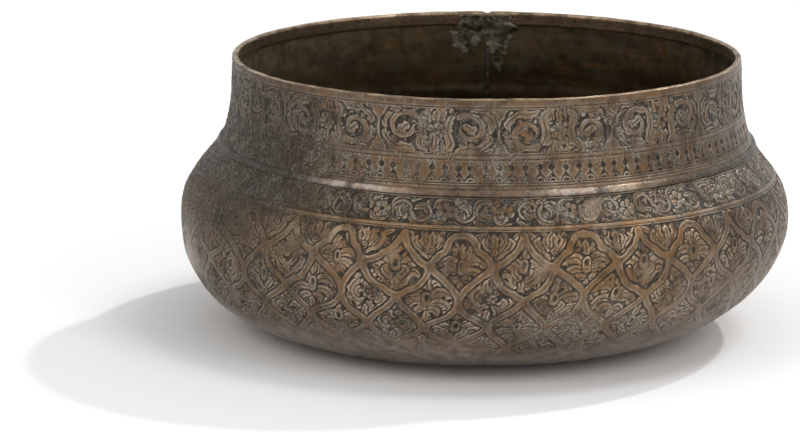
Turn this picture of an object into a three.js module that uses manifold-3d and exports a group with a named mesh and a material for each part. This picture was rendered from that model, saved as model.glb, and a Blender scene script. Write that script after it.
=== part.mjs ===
import * as THREE from 'three';
import { mergeVertices } from 'three/addons/utils/BufferGeometryUtils.js';
import Module from 'manifold-3d';

// A low, wide-bellied bowl of engraved brass, raised from sheet in two parts that lap
// under a low ridge. Millimetres, +Z up, origin at the middle of the flat underside.

// Outer form
const footRadius = 57;
const bellyRadius = 110;
const bellyHeight = 41;
const jointRadius = 96.4;
const jointHeight = 67.8;
const rimRadius = 91.3;
const rimHeight = 99;

// How the wall bends between those places: fullness is the length of a curve's handle as a
// share of its span, and lean is how far the wall moves inwards for each millimetre up
const footFullness = 0.69;
const bellyFullnessBelow = 0.47;
const bellyFullnessAbove = 0.52;
const jointFullnessBelow = 0.36;
const jointFullnessAbove = 0.27;
const rimFullness = 0.33;
const jointLean = 0.6;
const rimLean = 0.08;

// Sheet, lap joint and solder
const bowlSheet = 1.1;
const neckSheet = 1.0;
const solderGap = 0.3;
const skirtLength = 6;
const joggleLength = 4;
const filletLeg = 1.4;
const seamWidth = 1.5;
const patchWidth = 18;
const patchDepth = 14;
const patchSheet = 0.5;

// Ridge over the joint and band inside the lip
const ridgeWidth = 2.5;
const ridgeProud = 0.5;
const hoopWidth = 5;
const hoopSheet = 0.6;

// Turned lines, each a small V cut round the wall, by their distance along it
const lineHalfWidth = 0.45;
const lineDepth = 0.3;
const linesAboveJoint = [2.6, 10.4, 11.8];
const lineBelowRim = 2.8;
const linesBelowJoint = [2.2, 11.5, 13];

// Chased ornament, sunk between raised straps and dividers: a net of ogee cells round the
// belly, by the distances of its crossings below the joint, and panels round the neck
const chasedDepth = 0.35;
const cutterClearance = 1;
const strapWidth = 2.4;
const cellCount = 32;
const firstCellAngle = -105.25;
const crossingsBelowJoint = [15.8, 26.8, 38.2, 49.6, 61];
const netBelowJoint = 14.4;
const panelCount = 14;
const firstDividerAngle = -87.25;
const panelsAboveJoint = 13.4;
const panelsBelowRim = 3.5;

// Half of a cell's top from its peak to its side, as shares of the way across and down:
// every other cell of the top row has a tented top, and the rest a lobed one
const tentedTop = [[0, 0], [0.36, 0.62], [0.76, 0.88]];
const lobedTop = [[0, 0], [0.4, 0.16], [0.82, 0.78]];
const plainTop = [[0, 0], [0.83, 0.83]];

// Half of a panel from its middle to its bracketed end, as shares of its half length and height
const panelEnd = [[0, 1], [0.4, 1], [0.8, 0.98], [0.93, 0.5]];

// Fineness of the faces
const turnSegments = 2 * cellCount;
const baseSteps = 4;
const bellySteps = 7;
const shoulderSteps = 6;
const neckSteps = 7;
const skirtSteps = 3;
const ridgeSteps = 6;
const hoopSteps = 2;
const patchSteps = 4;
const cellSteps = 3;
const panelSteps = 2;

// Brass, worn and stained by handling, and the grey of old solder
const brown = 0x7a6450;
const innerBrown = 0x5a4a30;
const solderGrey = 0x8a8680;

const wasm = await Module();
wasm.setup();

// A place that lies "rise" above another on the line that leans inwards through it
function leaning(radius, height, rise, lean) {
  return new THREE.Vector2(radius - lean * rise, height + rise);
}

// The outer face of the wall, as three curves in radius and height
const bellySpan = bellyRadius - footRadius;
const shoulderRise = jointHeight - bellyHeight;
const neckRise = rimHeight - jointHeight;
const belly = new THREE.CubicBezierCurve(
  new THREE.Vector2(footRadius, 0),
  new THREE.Vector2(footRadius + footFullness * bellySpan, 0),
  new THREE.Vector2(bellyRadius, bellyHeight * (1 - bellyFullnessBelow)),
  new THREE.Vector2(bellyRadius, bellyHeight)
);
const shoulder = new THREE.CubicBezierCurve(
  new THREE.Vector2(bellyRadius, bellyHeight),
  new THREE.Vector2(bellyRadius, bellyHeight + bellyFullnessAbove * shoulderRise),
  leaning(jointRadius, jointHeight, -jointFullnessBelow * shoulderRise, jointLean),
  new THREE.Vector2(jointRadius, jointHeight)
);
const neck = new THREE.CubicBezierCurve(
  new THREE.Vector2(jointRadius, jointHeight),
  leaning(jointRadius, jointHeight, jointFullnessAbove * neckRise, jointLean),
  leaning(rimRadius, rimHeight, -rimFullness * neckRise, rimLean),
  new THREE.Vector2(rimRadius, rimHeight)
);

// The place of a wall curve at t, moved inwards across the wall by depth
function inside(curve, t, depth) {
  const along = curve.getTangent(t);
  return curve.getPoint(t).addScaledVector(new THREE.Vector2(-along.y, along.x), depth);
}

// The t at a distance along a curve from its start, or back from its end where negative
function tAt(curve, distance) {
  const share = distance / curve.getLength();
  return curve.getUtoTmapping(share < 0 ? 1 + share : share);
}

// The place a distance above the joint along the wall, or below it where negative
const shoulderLength = shoulder.getLength();
const neckLength = neck.getLength();
const wallLength = shoulderLength + belly.getLength();

function nearJoint(distance, depth) {
  if (distance < -shoulderLength) {
    return inside(belly, tAt(belly, distance + shoulderLength), depth);
  }
  const curve = distance < 0 ? shoulder : neck;
  return inside(curve, tAt(curve, distance), depth);
}

// Even steps from one number to another, both included
function steps(from, to, count) {
  return Array.from({ length: count + 1 }, (_, n) => from + ((to - from) * n) / count);
}

// The three points of each turned line, by its distance and its depth there
function lineMarks(distances) {
  return distances.flatMap((distance) => [
    { distance: distance - lineHalfWidth, depth: 0 },
    { distance, depth: lineDepth },
    { distance: distance + lineHalfWidth, depth: 0 }
  ]);
}

// The outer face above or below the joint, upwards, from places with their turned lines.
// Places within a line's own width of its middle give way to it.
function linedFace(distances, lines) {
  const clear = (distance) => lines.every((line) => Math.abs(distance - line) > 2 * lineHalfWidth);
  const marks = distances.filter(clear).map((distance) => ({ distance, depth: 0 }));
  marks.push(...lineMarks(lines));
  marks.sort((a, b) => a.distance - b.distance);
  return marks.map(({ distance, depth }) => nearJoint(distance, depth));
}

// Solids of revolution from an outline in radius and height: one from axis to axis, one ring
function turn(outline) {
  // Starts at a cell of the net, so that the net's crossings lie on the edges of the faces
  const start = THREE.MathUtils.degToRad(firstCellAngle + 90);
  return new THREE.LatheGeometry(outline, turnSegments, start).rotateX(Math.PI / 2);
}

function turnRing(outline) {
  return turn([...outline, outline[0].clone()]);
}

function toManifold(geometry) {
  geometry.deleteAttribute('normal');
  geometry.deleteAttribute('uv');
  const merged = mergeVertices(geometry);
  const vertProperties = new Float32Array(merged.attributes.position.array);
  const corners = Array.from(merged.index.array);
  const triangles = corners.flatMap((a, n) => (n % 3 === 0 ? [[a, corners[n + 1], corners[n + 2]]] : []));
  const whole = triangles.filter(([a, b, c]) => a !== b && b !== c && c !== a);
  const triVerts = new Uint32Array(whole.flat());
  return new wasm.Manifold(new wasm.Mesh({ numProp: 3, vertProperties, triVerts }));
}

function toGeometry(manifold) {
  const { vertProperties, triVerts } = manifold.getMesh();
  const geometry = new THREE.BufferGeometry();
  geometry.setAttribute('position', new THREE.BufferAttribute(vertProperties, 3));
  geometry.setIndex(new THREE.BufferAttribute(triVerts, 1));
  return geometry;
}

// A solid that sinks a field into the wall. Each column of it has an angle and the distances
// above the joint of the field's bottom and top there, and both ends come to a point.
function fieldCutter(columns, fieldSteps) {
  const last = columns.length - 1;
  const cutter = new THREE.BoxGeometry(1, 1, 1, last, fieldSteps, 1);
  const places = cutter.attributes.position;
  for (let n = 0; n < places.count; n += 1) {
    const column = Math.round((places.getX(n) + 0.5) * last);
    const { angle, bottom, top } = columns[column];
    const share = column === 0 || column === last ? 0.5 : places.getY(n) + 0.5;
    const distance = bottom + (top - bottom) * share;
    const { x, y } = nearJoint(distance, places.getZ(n) > 0 ? -cutterClearance : chasedDepth);
    places.setXYZ(n, x * Math.cos(angle), x * Math.sin(angle), y);
  }
  return toManifold(cutter);
}

// A field from the left and right halves of its outline, each from the middle outwards
function twoSided(left, right) {
  return [...left.slice(1).reverse(), ...right];
}

// The cells of the net, and the fields that its top row leaves under the border
function netCells() {
  const pitch = (2 * Math.PI) / cellCount;
  const first = THREE.MathUtils.degToRad(firstCellAngle);
  const margin = strapWidth * Math.SQRT1_2;
  const topShape = (n) => (n % 2 === 0 ? tentedTop : lobedTop);
  const cutters = [];
  for (let row = 0; row + 2 < crossingsBelowJoint.length; row += 1) {
    const [peak, side, foot] = crossingsBelowJoint.slice(row, row + 3);
    for (let n = 0; n < cellCount; n += 1) {
      const middle = first + (n + (row % 2) / 2) * pitch;
      const half = (sign) => (row === 0 ? topShape(n) : plainTop).map(([across, down]) => ({
        angle: middle + (sign * across * pitch) / 2,
        bottom: -(foot - (foot - side) * across - margin),
        top: -(peak + (side - peak) * down + margin)
      }));
      cutters.push(fieldCutter(twoSided(half(-1), half(1)), cellSteps));
    }
  }
  const [peak, side] = crossingsBelowJoint;
  for (let n = 0; n < cellCount; n += 1) {
    const middle = first + (n + 0.5) * pitch;
    const half = (sign, shape) => shape.slice(1).reverse().map(([across, down]) => ({
      angle: middle + (sign * (1 - across) * pitch) / 2,
      bottom: -(peak + (side - peak) * down - margin),
      top: -netBelowJoint
    }));
    const left = half(-1, topShape(n)).reverse();
    cutters.push(fieldCutter([...left, ...half(1, topShape(n + 1))], cellSteps));
  }
  return wasm.Manifold.union(cutters);
}

function neckPanels() {
  const pitch = (2 * Math.PI) / panelCount;
  const first = THREE.MathUtils.degToRad(firstDividerAngle);
  const top = neckLength - panelsBelowRim;
  const middle = (panelsAboveJoint + top) / 2;
  const cutters = steps(0, panelCount - 1, panelCount - 1).map((n) => {
    const half = (sign) => panelEnd.map(([along, tall]) => ({
      angle: first + (n + 0.5 + (sign * along) / 2) * pitch,
      bottom: middle - tall * (middle - panelsAboveJoint),
      top: middle + tall * (top - middle)
    }));
    return fieldCutter(twoSided(half(-1), half(1)), panelSteps);
  });
  return wasm.Manifold.union(cutters);
}

// Foot, belly and shoulder in one raised sheet of even thickness, open at the joint
function lowerBowl() {
  const borderMiddle = -(linesBelowJoint[0] + linesBelowJoint[1]) / 2;
  const rows = crossingsBelowJoint.flatMap((down, n) => {
    return n === 0 ? [-down] : [-down, -(down + crossingsBelowJoint[n - 1]) / 2];
  });
  const base = steps(-wallLength, Math.min(...rows), baseSteps).slice(0, -1);
  const places = [...base, ...rows, -shoulderLength, borderMiddle, 0];
  const outer = linedFace(places, linesBelowJoint.map((down) => -down));
  const inner = [
    ...steps(1, 0, shoulderSteps).map((t) => inside(shoulder, t, bowlSheet)),
    ...steps(1, 0, bellySteps).map((t) => inside(belly, t, bowlSheet)).slice(1),
    new THREE.Vector2(0, bowlSheet)
  ];
  return turn([new THREE.Vector2(0, 0), ...outer, ...inner]);
}

// The neck strip before its seam is cut: a coved wall whose lower edge is joggled inwards
// into a skirt that laps inside the bowl's mouth
const lapDepth = bowlSheet + solderGap;
const skirtDepth = lapDepth + neckSheet;

function wholeNeck() {
  return turnRing([
    ...linedFace(steps(solderGap, neckLength, neckSteps), [...linesAboveJoint, neckLength - lineBelowRim]),
    ...steps(1, tAt(neck, joggleLength), neckSteps).map((t) => inside(neck, t, neckSheet)),
    ...steps(0, -skirtLength, skirtSteps).map((distance) => nearJoint(distance, skirtDepth)),
    ...steps(-skirtLength, solderGap, skirtSteps).map((distance) => nearJoint(distance, lapDepth))
  ]);
}

// Low moulding over the joint, bent to the wall on both sides of it
function ridge() {
  const half = ridgeWidth / 2;
  const back = steps(-half, half, ridgeSteps).map((distance) => nearJoint(distance, -solderGap));
  const round = steps(0, Math.PI, ridgeSteps).slice(1, -1).map((angle) => {
    return nearJoint(half * Math.cos(angle), -solderGap - ridgeProud * Math.sin(angle));
  });
  return turnRing([...round.reverse(), ...back.reverse()]);
}

// Stiffening band inside the lip
const hoopDepth = neckSheet + solderGap;

function hoop() {
  const from = tAt(neck, -hoopWidth);
  const outer = steps(from, 1, hoopSteps).map((t) => inside(neck, t, hoopDepth));
  const inner = steps(1, from, hoopSteps).map((t) => inside(neck, t, hoopDepth + hoopSheet));
  return turnRing([...outer, ...inner]);
}

// Bead of solder in the corner under the skirt, all round inside the bowl
function fillet() {
  const skirtFoot = -skirtLength - solderGap;
  return turnRing([
    nearJoint(skirtFoot, lapDepth),
    nearJoint(skirtFoot, skirtDepth),
    nearJoint(skirtFoot - filletLeg, lapDepth)
  ]);
}

// The seam at the back, where the two ends of the neck strip meet: a slot filled with solder,
// which also runs over the inner face below the hoop as a thin patch that narrows to a point
function seamSlot() {
  const slotHeight = 3 * rimHeight;
  const box = new THREE.BoxGeometry(seamWidth, bellyRadius, slotHeight);
  return toManifold(box.translate(0, bellyRadius / 2, 0));
}

function seamSolder(wholeNeckSolid, slot) {
  const top = tAt(neck, -hoopWidth - solderGap);
  const bottom = tAt(neck, -hoopWidth - solderGap - patchDepth);
  const band = (outerDepth, innerDepth) => {
    const outer = steps(bottom, top, patchSteps).map((t) => inside(neck, t, outerDepth));
    const inner = steps(top, bottom, patchSteps).map((t) => inside(neck, t, innerDepth));
    return toManifold(turnRing([...outer, ...inner]));
  };
  const outline = new THREE.Shape([
    new THREE.Vector2(-patchWidth / 2, neck.getPoint(top).y),
    new THREE.Vector2(0, neck.getPoint(bottom).y),
    new THREE.Vector2(patchWidth / 2, neck.getPoint(top).y)
  ]);
  const wedge = new THREE.ExtrudeGeometry(outline, { depth: bellyRadius, bevelEnabled: false });
  wedge.rotateX(Math.PI / 2).translate(0, bellyRadius, 0);
  const patchDepthIn = hoopDepth + patchSheet;
  const patch = band(hoopDepth, patchDepthIn).intersect(toManifold(wedge));
  const root = band(neckSheet / 2, patchDepthIn).intersect(slot);
  return wholeNeckSolid.intersect(slot).add(root).add(patch);
}

function part(name, geometry, color, roughness) {
  const material = new THREE.MeshStandardMaterial({ color, roughness, metalness: 1 });
  const mesh = new THREE.Mesh(geometry, material);
  mesh.name = name;
  return mesh;
}

const slot = seamSlot();
const bellySolid = toManifold(lowerBowl()).subtract(netCells());
const neckSolid = toManifold(wholeNeck()).subtract(neckPanels());
const bowl = new THREE.Group();
bowl.add(
  part('lower_bowl', toGeometry(bellySolid), brown, 0.45),
  part('neck_ring', toGeometry(neckSolid.subtract(slot)), brown, 0.45),
  part('shoulder_ridge', ridge(), brown, 0.35),
  part('rim_hoop', hoop(), innerBrown, 0.5),
  part('neck_seam_solder', toGeometry(seamSolder(neckSolid, slot)), solderGrey, 0.6),
  part('shoulder_solder', fillet(), solderGrey, 0.6)
);

export default bowl;
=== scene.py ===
import math

import bpy
import numpy as np
from mathutils import Matrix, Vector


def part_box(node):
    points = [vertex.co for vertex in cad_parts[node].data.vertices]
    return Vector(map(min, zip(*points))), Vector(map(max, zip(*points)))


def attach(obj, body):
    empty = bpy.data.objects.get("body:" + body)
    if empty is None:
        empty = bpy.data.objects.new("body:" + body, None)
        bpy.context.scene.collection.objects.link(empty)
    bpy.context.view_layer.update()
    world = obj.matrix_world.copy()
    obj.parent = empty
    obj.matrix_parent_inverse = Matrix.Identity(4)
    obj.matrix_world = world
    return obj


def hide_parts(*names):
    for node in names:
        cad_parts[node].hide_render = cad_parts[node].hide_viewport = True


# Looks of a low, wide-bellied bowl of engraved brass. Lengths here are millimetres and angles
# are degrees from +X, with 270 in front, until a mesh is made: meshes are in metres.

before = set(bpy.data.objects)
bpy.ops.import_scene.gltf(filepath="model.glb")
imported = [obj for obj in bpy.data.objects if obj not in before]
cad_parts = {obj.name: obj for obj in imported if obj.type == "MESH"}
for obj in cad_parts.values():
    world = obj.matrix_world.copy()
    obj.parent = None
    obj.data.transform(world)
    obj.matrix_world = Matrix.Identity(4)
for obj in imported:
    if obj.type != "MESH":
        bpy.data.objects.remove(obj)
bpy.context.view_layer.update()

MM = 0.001
BACK = 90.0
rng = np.random.default_rng(5644)


# Outer form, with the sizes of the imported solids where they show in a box
def extent(node, axis):
    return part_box(node)[1][axis] / MM


belly_radius = extent("lower_bowl", 0)
rim_height = extent("neck_ring", 2)
foot_radius = 57.0
belly_height = 41.0
joint_radius = 96.4
joint_height = 67.8
rim_radius = 91.3

# Sheet, lap joint and solder
bowl_sheet = 1.1
neck_sheet = 1.0
solder_gap = 0.3
skirt_length = 6.0
joggle_length = 4.0
fillet_leg = 1.4
seam_width = 1.5
lap_depth = bowl_sheet + solder_gap
skirt_depth = lap_depth + neck_sheet
ridge_half = 1.35
ridge_proud = 0.62
ridge_root = 0.25
ridge_sunk = 0.12
hoop_width = 5.0
hoop_sheet = 0.6
hoop_depth = neck_sheet + solder_gap
lip_round = 0.45
patch_from, patch_to = 0.9, 26
patch_spread = 12.0

# Bands of ornament, by distance along the wall from the lip
panels = (3.4, 18.3)
lappets = (21.4, 27.4)
scroll = (34.0, 43.9)
lattice = (46.0, 99.0)
turned_lines = [2.8, 18.9, 20.5, 28.4, 29.3, 33.3, 34.0, 43.9, 45.5]
panel_count = 14
first_divider = -87.25
lappet_count = 128
loop_count = 88
cell_count = 32
first_cell = -105.25
drawn_cell, motif_fill = 21.2, 0.98
spandrels_at = 51.9
strap_half = 1.15
strap_gap = 0.62
crossings = [47.6, 58.6, 70.0, 81.4, 92.8, 104.2]
crossing_swells = [0.3, 0.7, 0.3, 0.3, 0.3, 0.3]

# Depths of the work
ground_depth = 0.26
line_depth = 0.2
line_half = 0.34
vein_half = 0.17
leaf_gap = 0.34

# The lean of the neck and the tilt of the lip in 100 mm, and how far the belly sags to the left
neck_lean, lip_tilt, belly_sag = 2.07, 1.364, 8.05

# Columns of the meshes, with every fourth one on inner faces, and the steps between rows
fine_columns, ridge_columns, coarse_columns = 2048, 1024, 512
inner_every = 4
fine_step, coarse_step = 0.33, 1.0


def smooth(value, low, high):
    """0 below low, 1 above high and an even curve between them."""
    t = np.clip((value - low) / (high - low), 0, 1)
    return t * t * (3 - 2 * t)


def bezier(points, t):
    a, b, c, d = [np.asarray(p, float) for p in points]
    t = t[:, None]
    return a * (1 - t) ** 3 + 3 * b * t * (1 - t) ** 2 + 3 * c * t * t * (1 - t) + d * t**3


def leaning(radius, height, rise, lean):
    return (radius - lean * rise, height + rise)


def left_of(ways):
    """Ways in a plane, each turned to the left by a quarter."""
    return np.stack([-ways[..., 1], ways[..., 0]], -1)


def wall_table():
    """Distance from the lip, place and outward normal of the outer face, lip to middle."""
    rise, drop = rim_height - joint_height, joint_height - belly_height
    rim, joint = (rim_radius, rim_height), (joint_radius, joint_height)
    belly, foot = (belly_radius, belly_height), (foot_radius, 0)
    over_belly = (belly_radius, belly_height + 0.52 * drop)
    under_belly = (belly_radius, belly_height * 0.53)
    by_foot = (foot_radius + 0.69 * (belly_radius - foot_radius), 0)
    bends = [
        [rim, leaning(*rim, -0.33 * rise, 0.08), leaning(*joint, 0.27 * rise, 0.6), joint],
        [joint, leaning(*joint, -0.36 * drop, 0.6), over_belly, belly],
        [belly, under_belly, by_foot, foot],
    ]
    steps = 599
    t = np.linspace(0, 1, steps + 1)
    base = np.stack([np.linspace(foot_radius, 0, 60), np.zeros(60)], 1)
    places = np.concatenate([bezier(points, t)[:-1] for points in bends] + [base])
    along = np.gradient(places, axis=0)
    along /= np.linalg.norm(along, axis=1)[:, None]
    moved = np.linalg.norm(np.diff(places, axis=0), axis=1)
    distance = np.concatenate([[0], np.cumsum(moved)])
    # Walking down and then in, outwards is on the left of the way
    return distance, places, left_of(along), distance[steps], distance[3 * steps]


wall_distance, wall_places, wall_normals, joint_at, foot_at = wall_table()


def wall(distance, depth=0.0):
    """Radius and height at distances along the wall, moved inwards across it by depth."""
    radius = np.interp(distance, wall_distance, wall_places[:, 0])
    height = np.interp(distance, wall_distance, wall_places[:, 1])
    out = np.interp(distance, wall_distance, wall_normals[:, 0])
    up = np.interp(distance, wall_distance, wall_normals[:, 1])
    return radius - depth * out, height - depth * up


def radius_at(distance):
    return float(wall(distance)[0])


def waves(angles, distances, seed, scale, count=14):
    """Smooth unevenness about -1 to 1 that closes round the bowl, of a size in millimetres."""
    own = np.random.default_rng(seed)
    total = np.zeros(np.broadcast(angles, distances).shape)
    for _ in range(count):
        turns = round(own.normal(0, 1) * 2 * math.pi * 100 / scale)
        climb = own.normal(0, 1) * 2 * math.pi / scale
        phase = own.uniform(0, 2 * math.pi)
        total = total + np.cos(np.radians(angles) * turns + distances * climb + phase)
    return total / math.sqrt(count)


def away(angles, middle):
    """How far angles lie from another, in degrees."""
    return np.abs((angles - middle + 180) % 360 - 180)


def hand_made(x, y, z):
    """The lean and sag of the real bowl, the same for every piece."""
    low = np.clip((60 - z) / 60, 0, 1)
    x_new = x - neck_lean * (z - 100) / 100 - belly_sag * low**2
    z_new = z + lip_tilt * x / 100 * np.clip((z - 45) / 30, 0, 1)
    return x_new, y, z_new


# Drawing of ornament. A motif is a list of strokes, each a kind, a line and its half widths.


def curve(points, steps=4):
    """A smooth line through points."""
    p = np.asarray(points, float)
    if len(p) < 3:
        return p
    ends = np.concatenate([[2 * p[0] - p[1]], p, [2 * p[-1] - p[-2]]])
    t = np.arange(steps)[:, None] / steps
    out = []
    for a, b, c, d in zip(ends, ends[1:], ends[2:], ends[3:]):
        bent = 2 * b + (c - a) * t + (2 * a - 5 * b + 4 * c - d) * t**2
        out.append(0.5 * (bent + (3 * b - a - 3 * c + d) * t**3))
    return np.concatenate([*out, p[-1:]])


def even(kind, points, half):
    """A stroke of one width."""
    return (kind, np.asarray(points, float), np.full(len(points), half, float))


def cut(points):
    """An engraved line."""
    return even("cut", points, vein_half)


def stem(points, start, end):
    """A stroke from one width to another."""
    line = curve(points)
    return ("raise", line, np.linspace(start, end, len(line)) / 2)


def parted(items):
    """The items with a dark gap about them, so that they stand out where they lie on others."""
    return [("sink", line, widths + leaf_gap) for kind, line, widths in items if kind == "raise"] + items


def spine(base, tip, bend):
    """A line that bends to its left by bend, its length, and the ways along it and to its left."""
    base, tip = np.asarray(base, float), np.asarray(tip, float)
    length = float(np.hypot(*(tip - base)))
    along = (tip - base) / length
    side = left_of(along)
    shares = np.linspace(0, 1, 8)
    line = base + np.outer(shares * length, along) + np.outer(4 * bend * shares * (1 - shares), side)
    return line, length, along, side


def leaf(base, tip, bend, width, rib=True):
    """A pointed leaf with an engraved midrib."""
    line = spine(base, tip, bend)[0]
    widths = width / 2 * np.sin(math.pi * np.linspace(0.1, 0.94, len(line))) ** 0.8
    items = parted([("raise", line, widths)])
    return [*items, cut(line[1:6])] if rib else items


def frond(base, tip, bend, width):
    """A broad leaf with a scalloped edge on a bent spine, and a midrib."""
    line, length, along, side = spine(base, tip, bend)
    items = [("raise", line, width * np.array([0.1, 0.24, 0.31, 0.33, 0.31, 0.26, 0.18, 0.06]))]
    # Two pairs of lobes, with a third of one left for the tip
    lobes_long = 2.35
    for share in np.array([0.5, 1.5]) / lobes_long:
        spread = width / 2 * math.sin(math.pi * (0.24 + 0.56 * share))
        lobe = min(0.56 * length / lobes_long, 0.62 * spread)
        at = line[0] + along * length * share + side * 4 * bend * share * (1 - share)
        for hand in (-1, 1):
            end = at + (along * 0.5 + side * hand * 0.866) * (spread - lobe)
            items.append(even("raise", [at, end], lobe))
    return parted(items) + [cut(line[1:6])]


def palm(points, width, lobes, hand):
    """A half palmette: a curling body with lobes on one side, left for 1 and right for -1."""
    line = curve(points)
    body = width / 2 * np.sin(math.pi * np.linspace(0.12, 0.96, len(line))) ** 0.7
    along = np.gradient(line, axis=0)
    along /= np.linalg.norm(along, axis=1)[:, None] + 1e-9
    side = left_of(along) * hand
    items = [("raise", line, body)]
    for share in (np.arange(lobes) + 0.6) / (lobes + 0.5):
        k = int(share * (len(line) - 1))
        end = line[k] + side[k] * body[k] * 0.9 + along[k] * 0.25
        items.append(even("raise", [line[k], end], width * 0.27))
    return parted(items) + [cut(line[2:-2] + side[2:-2] * 0.12 * width)]


def circle(at, radius, steps):
    turn = np.linspace(0, 2 * math.pi, steps + 1)
    return np.asarray(at, float) + radius * np.stack([np.cos(turn), np.sin(turn)], 1)


def disc(kind, at, radius, tall=0.0):
    """A round spot, or an upright one with round ends."""
    return even(kind, [(at[0], at[1] - tall), (at[0], at[1] + tall)], radius)


def bud(at, radius):
    """A round bud with an engraved ring in it."""
    return parted([disc("raise", at, radius)]) + [cut(circle(at, radius * 0.5, 9))]


def rosette(at, radius, petals):
    """A flower of round petals about a sunk eye."""
    items, veins = [disc("raise", at, radius * 0.6)], []
    for turn in np.arange(petals) * 2 * math.pi / petals:
        way = np.array([math.cos(turn), math.sin(turn)])
        items.append(disc("raise", at + way * radius * 0.66, radius * 0.36))
        between = turn + math.pi / petals
        gap = np.array([math.cos(between), math.sin(between)])
        veins.append(cut([at + gap * radius * 0.4, at + gap * radius]))
    return parted(items) + veins + [disc("sink", at, radius * 0.26)]


def stretched(items, x, y):
    """The items made x times as wide and y times as tall, where -1 turns them over."""
    return [(kind, line * np.array([x, y]), widths) for kind, line, widths in items]


def both(items):
    """The items and their mirror images."""
    return items + stretched(items, -1, 1)


class Field:
    """A stretch of the outer face with its ornament: top is 1 where the metal is left and 0
    where the ground is sunk, and line is 1 in an engraved line."""

    soft = 0.26

    def __init__(self, angles, distances, wraps):
        self.angles, self.distances, self.wraps = angles, distances, wraps
        self.top = np.ones((len(distances), len(angles)))
        self.line = np.zeros_like(self.top)
        # The graver's wander: each point is drawn as if it lay a little to the side
        self.wander_x = 0.12 * self.waves(51, 6)
        self.wander_y = 0.12 * self.waves(52, 6)

    def waves(self, seed, scale, count=14):
        return waves(self.angles[None, :], self.distances[:, None], seed, scale, count)

    def blotches(self, seed, scale, low, high, count=14):
        """1 where waves of that scale are above high, and 0 where they are below low."""
        return smooth(self.waves(seed, scale, count), low, high)

    def spot(self, angle, spread, distance, reach):
        """1 in the middle of a soft patch, and 0 well away from it."""
        across = away(self.angles[None, :], angle) / spread
        return np.exp(-(across**2) - ((self.distances[:, None] - distance) / reach) ** 2)

    def window(self, angle, distance, low, high):
        """Rows, columns and local places of the points in a box in millimetres."""
        radius = radius_at(distance)
        rows = np.arange(*np.searchsorted(self.distances, [distance - high[1], distance - low[1]]))
        turn = (self.angles - angle + 180) % 360 - 180
        x = np.radians(turn) * radius
        columns = np.nonzero((x > low[0]) & (x < high[0]))[0]
        block = np.ix_(rows, columns)
        x = x[columns][None, :] + self.wander_x[block]
        y = (distance - self.distances[rows])[:, None] + self.wander_y[block]
        return block, x, y

    def draw(self, items, angle, distance, size=1.0, spin=0.0, shake=0.0, within=None):
        """Draws items at a place on the wall, in millimetres with y up the wall."""
        c, s = math.cos(spin), math.sin(spin)
        turn = np.array([[c, s], [-s, c]]) * size
        for kind, line, widths in items:
            line = line @ turn
            if shake:
                line = line + rng.normal(0, shake, 2)
            margin = widths.max() * size + self.soft
            low, high = line.min(0) - margin, line.max(0) + margin
            if within:
                low[1] = max(low[1], distance - within[1])
                high[1] = min(high[1], distance - within[0])
            block, x, y = self.window(angle, distance, low, high)
            if not x.size:
                continue
            inside = np.full(x.shape, -9.0)
            for k in range(len(line) - 1):
                a, way = line[k], line[k + 1] - line[k]
                t = np.clip(((x - a[0]) * way[0] + (y - a[1]) * way[1]) / (way @ way + 1e-9), 0, 1)
                gone = np.hypot(x - a[0] - t * way[0], y - a[1] - t * way[1])
                half = (widths[k] + t * (widths[k + 1] - widths[k])) * size
                inside = np.maximum(inside, half - gone)
            cover = np.clip(0.5 + inside / self.soft, 0, 1)
            if kind == "raise":
                self.top[block] = np.maximum(self.top[block], cover)
                self.line[block] = np.minimum(self.line[block], 1 - cover)
            elif kind == "sink":
                self.top[block] = np.minimum(self.top[block], 1 - cover)
            else:
                self.line[block] = np.maximum(self.line[block], cover)

    def ground(self, start, end):
        """Sinks a whole band."""
        inside = np.minimum(self.distances - start, end - self.distances)
        cover = np.clip(0.5 + inside / self.soft, 0, 1)[:, None]
        self.top = np.minimum(self.top, 1 - cover)

    def turned(self, distance):
        cover = np.clip(1 - np.abs(self.distances - distance) / line_half, 0, 1)[:, None]
        self.line = np.maximum(self.line, cover)


# Motifs


def middle_and_half(band):
    """The middle of a band along the wall, and half its depth."""
    return (band[0] + band[1]) / 2, (band[1] - band[0]) / 2


def small_leaves(field, start, end, per_leaf):
    """Fills a sunk band with little leaves that lie every way, each on so many square mm."""
    middle, half = middle_and_half((start, end))
    area = 4 * math.pi * radius_at(middle) * half
    for _ in range(round(area / per_leaf)):
        length, bend = rng.uniform(1.5, 2.8), rng.uniform(-0.6, 0.6)
        small = leaf((0, -length / 2), (0, length / 2), bend, rng.uniform(0.8, 1.3), False)
        field.draw(small, rng.uniform(-180, 180), rng.uniform(start, end), 1.0, rng.uniform(0, 6.3))


def coil(middle, wide, narrow, start, end):
    """Points of a spiral, by its outer and inner radius and its first and last angle."""
    turn = np.radians(np.linspace(start, end, 14))
    radius = np.linspace(wide, narrow, 14)
    return np.array(middle) + np.stack([radius * np.cos(turn), radius * np.sin(turn)], 1)


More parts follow.
